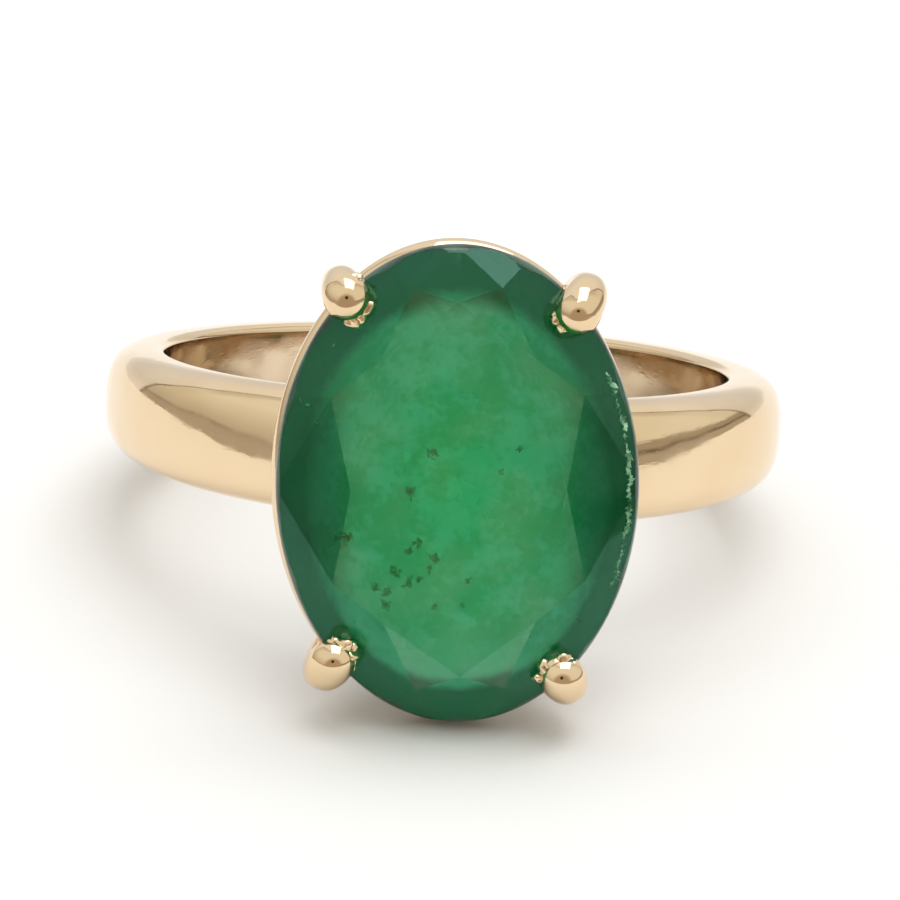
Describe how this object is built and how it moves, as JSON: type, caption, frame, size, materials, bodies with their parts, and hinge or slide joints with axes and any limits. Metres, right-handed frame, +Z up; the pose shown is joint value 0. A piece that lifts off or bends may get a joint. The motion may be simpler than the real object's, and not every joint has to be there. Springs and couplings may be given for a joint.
{
  "type": "cocktail ring",
  "caption": "Oval faceted green stone in a raised four-claw head on a plain domed yellow gold band, lying on its side.",
  "frame": {"origin": "middle of the ring's bounding box on the table it lies on", "axes": "+Z up from the table; -Y is the side the stone faces; X runs across the stone; the finger hole's axis leans 14.1 degrees from +Z towards +Y"},
  "size_m": [0.0208, 0.0256, 0.0139],
  "materials": {
    "polished_gold": "high polish yellow gold with fine handling marks",
    "emerald": "polished, hazy natural stone with dark inclusions"
  },
  "bodies": {
    "root": {"shank": "polished_gold", "lower_gallery_rail": "polished_gold", "upper_gallery_rail": "polished_gold", "claw_upper_left": "polished_gold", "claw_upper_right": "polished_gold", "claw_lower_left": "polished_gold", "claw_lower_right": "polished_gold", "emerald": "emerald"}
  },
  "joints": []
}
